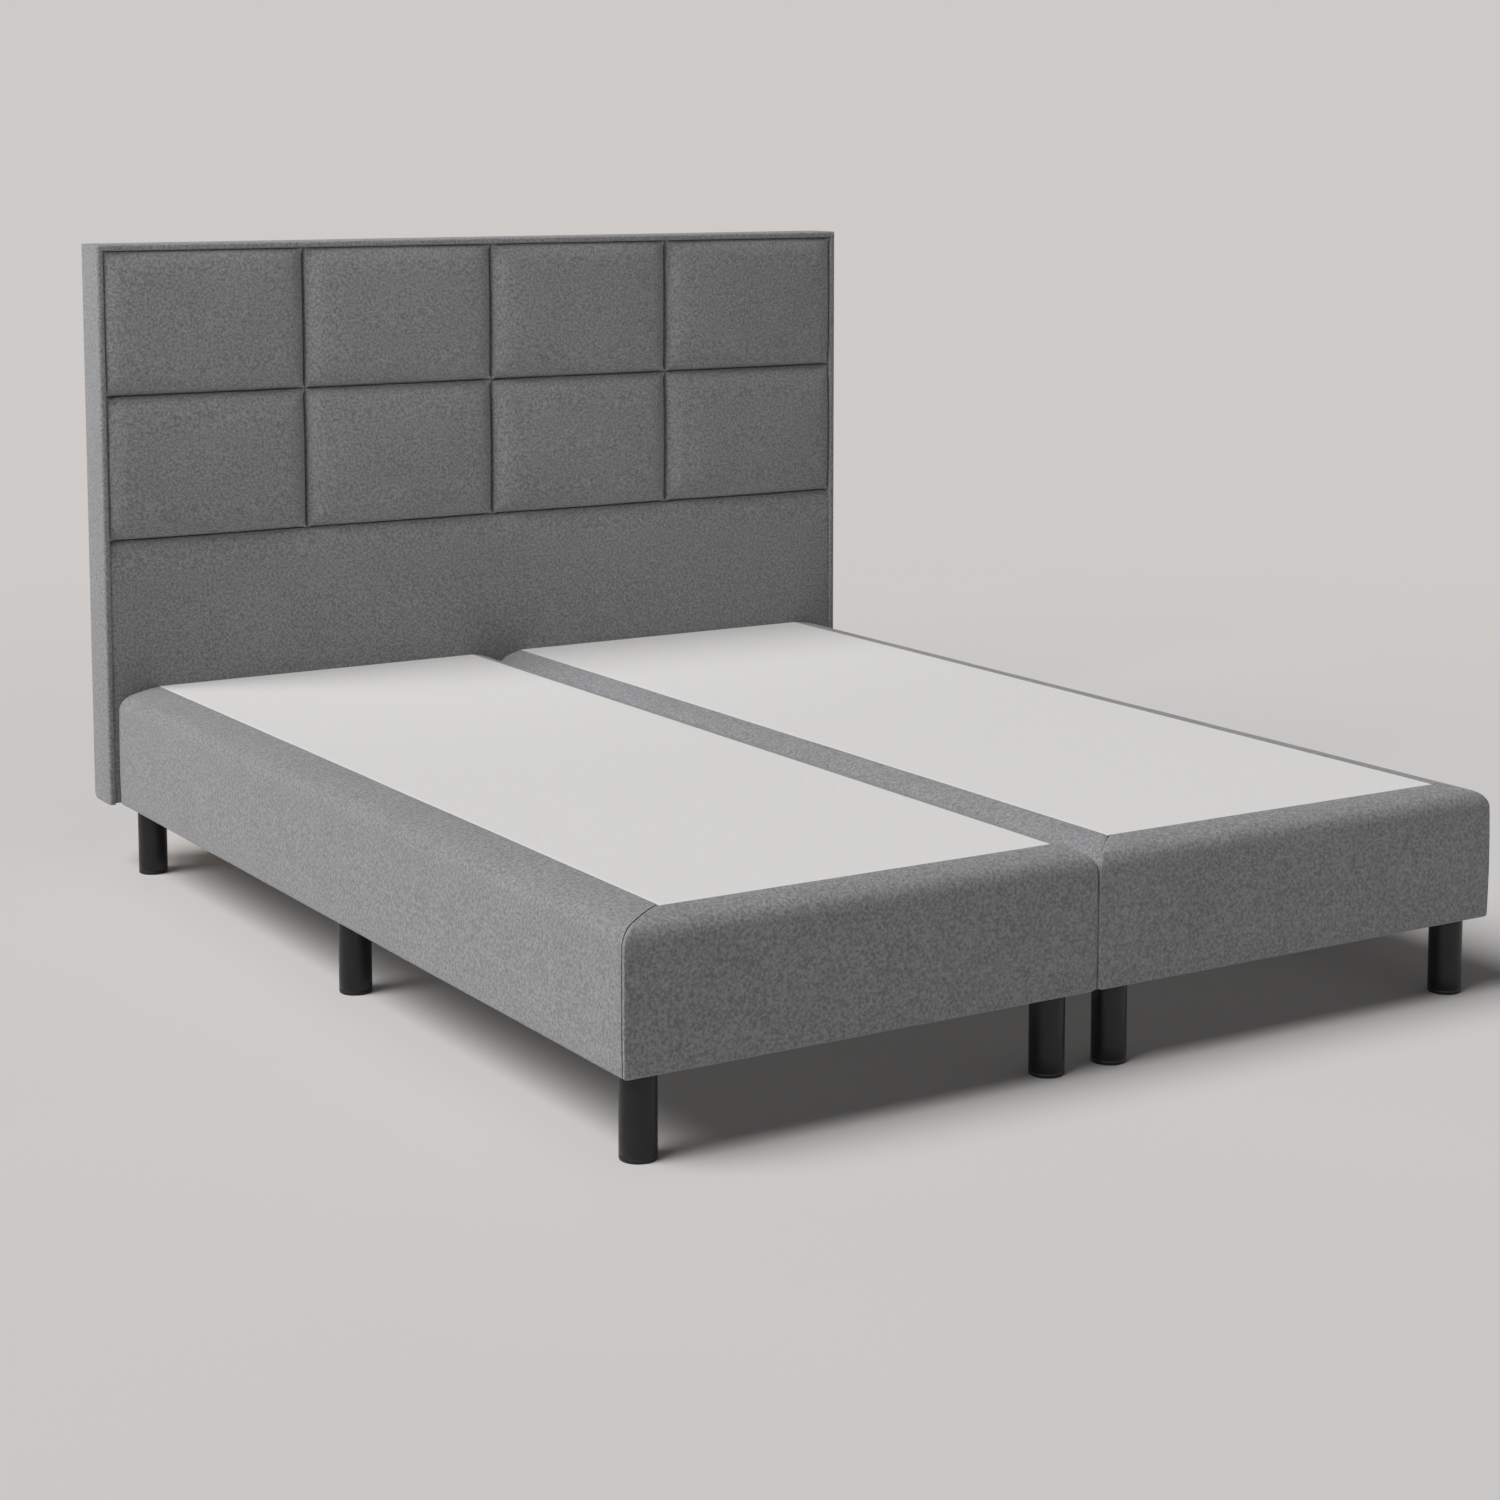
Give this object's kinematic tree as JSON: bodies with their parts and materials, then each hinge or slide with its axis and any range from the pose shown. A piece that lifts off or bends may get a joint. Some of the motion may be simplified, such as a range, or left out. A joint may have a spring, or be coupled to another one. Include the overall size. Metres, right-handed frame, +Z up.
{
  "type": "box spring bed",
  "caption": "Double box spring bed: sprung upholstered bases side by side on round legs, with a quilted padded headboard.",
  "frame": {"origin": "on the floor under the middle of the bed's overall box", "axes": "+X to the right seen from the foot end, +Y towards the headboard, +Z up"},
  "size_m": [1.68, 2.09, 1.215],
  "materials": {
    "timber": "sawn pine",
    "spring_steel": "bright wire",
    "felt": "needled felt",
    "foam": "open-cell foam",
    "deck_cloth": "matt non-woven cloth",
    "grey_wool": "heathered felted cloth",
    "dust_cloth": "black non-woven cloth",
    "back_cloth": "plain dark cloth on a sheet",
    "leg_black": "satin black",
    "glide_plastic": "matt",
    "zinc_steel": "zinc plated",
    "particle_board": "raw board"
  },
  "bodies": {
    "frame": {"cross_slats_left": "timber", "cross_slats_right": "timber", "dust_cover_left": "dust_cloth", "dust_cover_right": "dust_cloth", "end_rails_left": "timber", "end_rails_right": "timber", "foot_border_left": "grey_wool", "foot_border_right": "grey_wool", "head_padding_left": "grey_wool", "head_padding_right": "grey_wool", "headboard_back": "back_cloth", "headboard_board": "particle_board", "headboard_bolts": "zinc_steel", "headboard_edge_left": "grey_wool", "headboard_edge_right": "grey_wool", "headboard_edge_top": "grey_wool", "headboard_field": "grey_wool", "headboard_frame": "timber", "inner_border_left": "grey_wool", "inner_border_right": "grey_wool", "leg_blocks": "timber", "leg_glides": "glide_plastic", "leg_left_inner_foot": "leg_black", "leg_left_inner_head": "leg_black", "leg_left_inner_middle": "leg_black", "leg_left_outer_foot": "leg_black", "leg_left_outer_head": "leg_black", "leg_left_outer_middle": "leg_black", "leg_right_inner_foot": "leg_black", "leg_right_inner_head": "leg_black", "leg_right_inner_middle": "leg_black", "leg_right_outer_foot": "leg_black", "leg_right_outer_head": "leg_black", "leg_right_outer_middle": "leg_black", "leg_studs": "zinc_steel", "link_plates": "zinc_steel", "link_screws": "zinc_steel", "quilt_pad_lower_1": "grey_wool", "quilt_pad_lower_2": "grey_wool", "quilt_pad_lower_3": "grey_wool", "quilt_pad_lower_4": "grey_wool", "quilt_pad_upper_1": "grey_wool", "quilt_pad_upper_2": "grey_wool", "quilt_pad_upper_3": "grey_wool", "quilt_pad_upper_4": "grey_wool", "side_border_left": "grey_wool", "side_border_right": "grey_wool", "side_rails_left": "timber", "side_rails_right": "timber", "springs_left": "spring_steel", "springs_right": "spring_steel", "t_nuts": "zinc_steel"},
    "deck_left": {"spring_wire_left": "spring_steel", "deck_felt_left": "felt", "deck_foam_left": "foam", "deck_cover_left": "deck_cloth"},
    "deck_right": {"spring_wire_right": "spring_steel", "deck_felt_right": "felt", "deck_foam_right": "foam", "deck_cover_right": "deck_cloth"}
  },
  "joints": [
    {"name": "deck_left_sink", "type": "slide", "parent": "frame", "child": "deck_left", "axis": [0, 0, 1], "range_m": [-0.03, 0], "stiffness_N_per_m": 60000, "springref_m": 0.005, "deforming": ["springs_left"]},
    {"name": "deck_right_sink", "type": "slide", "parent": "frame", "child": "deck_right", "axis": [0, 0, 1], "range_m": [-0.03, 0], "stiffness_N_per_m": 60000, "springref_m": 0.005, "deforming": ["springs_right"]}
  ]
}
